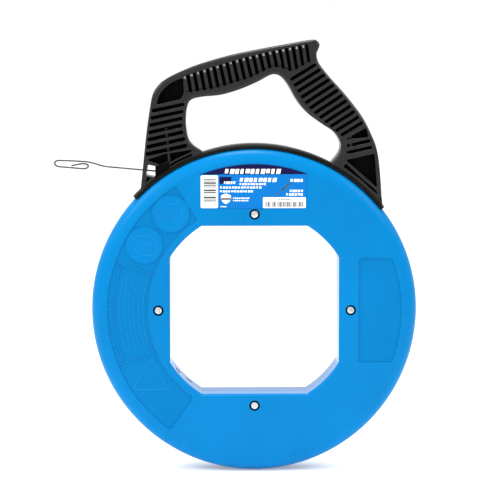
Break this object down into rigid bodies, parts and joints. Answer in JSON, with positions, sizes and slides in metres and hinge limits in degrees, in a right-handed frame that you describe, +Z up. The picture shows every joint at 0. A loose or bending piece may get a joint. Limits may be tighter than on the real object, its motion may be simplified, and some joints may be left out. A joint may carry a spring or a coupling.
{
  "type": "fish tape reel",
  "caption": "Flat round case with an octagonal winding opening that turns inside the shoe of a slotted carrying handle, with coiled steel tape and a formed leading eye.",
  "frame": {"origin": "centre of the winding opening: on the case axis, half way between the front and rear faces", "axes": "+Y along the case axis, from the labelled front face to the rear face; +Z up through the handle; +X to the right seen from the front"},
  "size_m": [0.3602, 0.05, 0.4282],
  "materials": {
    "case_plastic": "moulded polypropylene, satin gloss",
    "handle_plastic": "moulded glass-filled nylon, satin",
    "guide_plastic": "moulded acetal",
    "wear_plastic": "low-friction strip",
    "zinc_steel": "bright zinc plate",
    "bright_steel": "ground",
    "blued_steel": "blued spring steel",
    "label_film": "printed film"
  },
  "bodies": {
    "handle": {"handle_body": "handle_plastic", "handle_shoe": "handle_plastic", "shoe_runner": "handle_plastic", "front_wear_strip": "wear_plastic", "rear_wear_strip": "wear_plastic", "shoe_screw_left": "zinc_steel", "shoe_screw_middle": "zinc_steel", "shoe_screw_right": "zinc_steel", "tape_guide": "guide_plastic", "guide_pin": "bright_steel", "exit_bush": "bright_steel"},
    "reel": {"front_case": "case_plastic", "rear_case": "case_plastic", "case_screw_top": "zinc_steel", "case_screw_left": "zinc_steel", "case_screw_bottom": "zinc_steel", "case_screw_right": "zinc_steel", "case_nut_top": "zinc_steel", "case_nut_left": "zinc_steel", "case_nut_bottom": "zinc_steel", "case_nut_right": "zinc_steel", "front_label": "label_film", "tape_coil": "blued_steel", "tape_tail": "blued_steel"},
    "tape": {"tape_lead": "blued_steel", "tape_hook": "blued_steel"}
  },
  "joints": [
    {"name": "reel_spin", "type": "hinge", "parent": "handle", "child": "reel", "pos_m": [0, 0, 0], "axis": [0, 1, 0], "continuous": true},
    {"name": "tape_payout", "type": "slide", "parent": "handle", "child": "tape", "axis": [-0.9959, 0, 0.0906], "range_m": [-0.03, 0.1]}
  ]
}
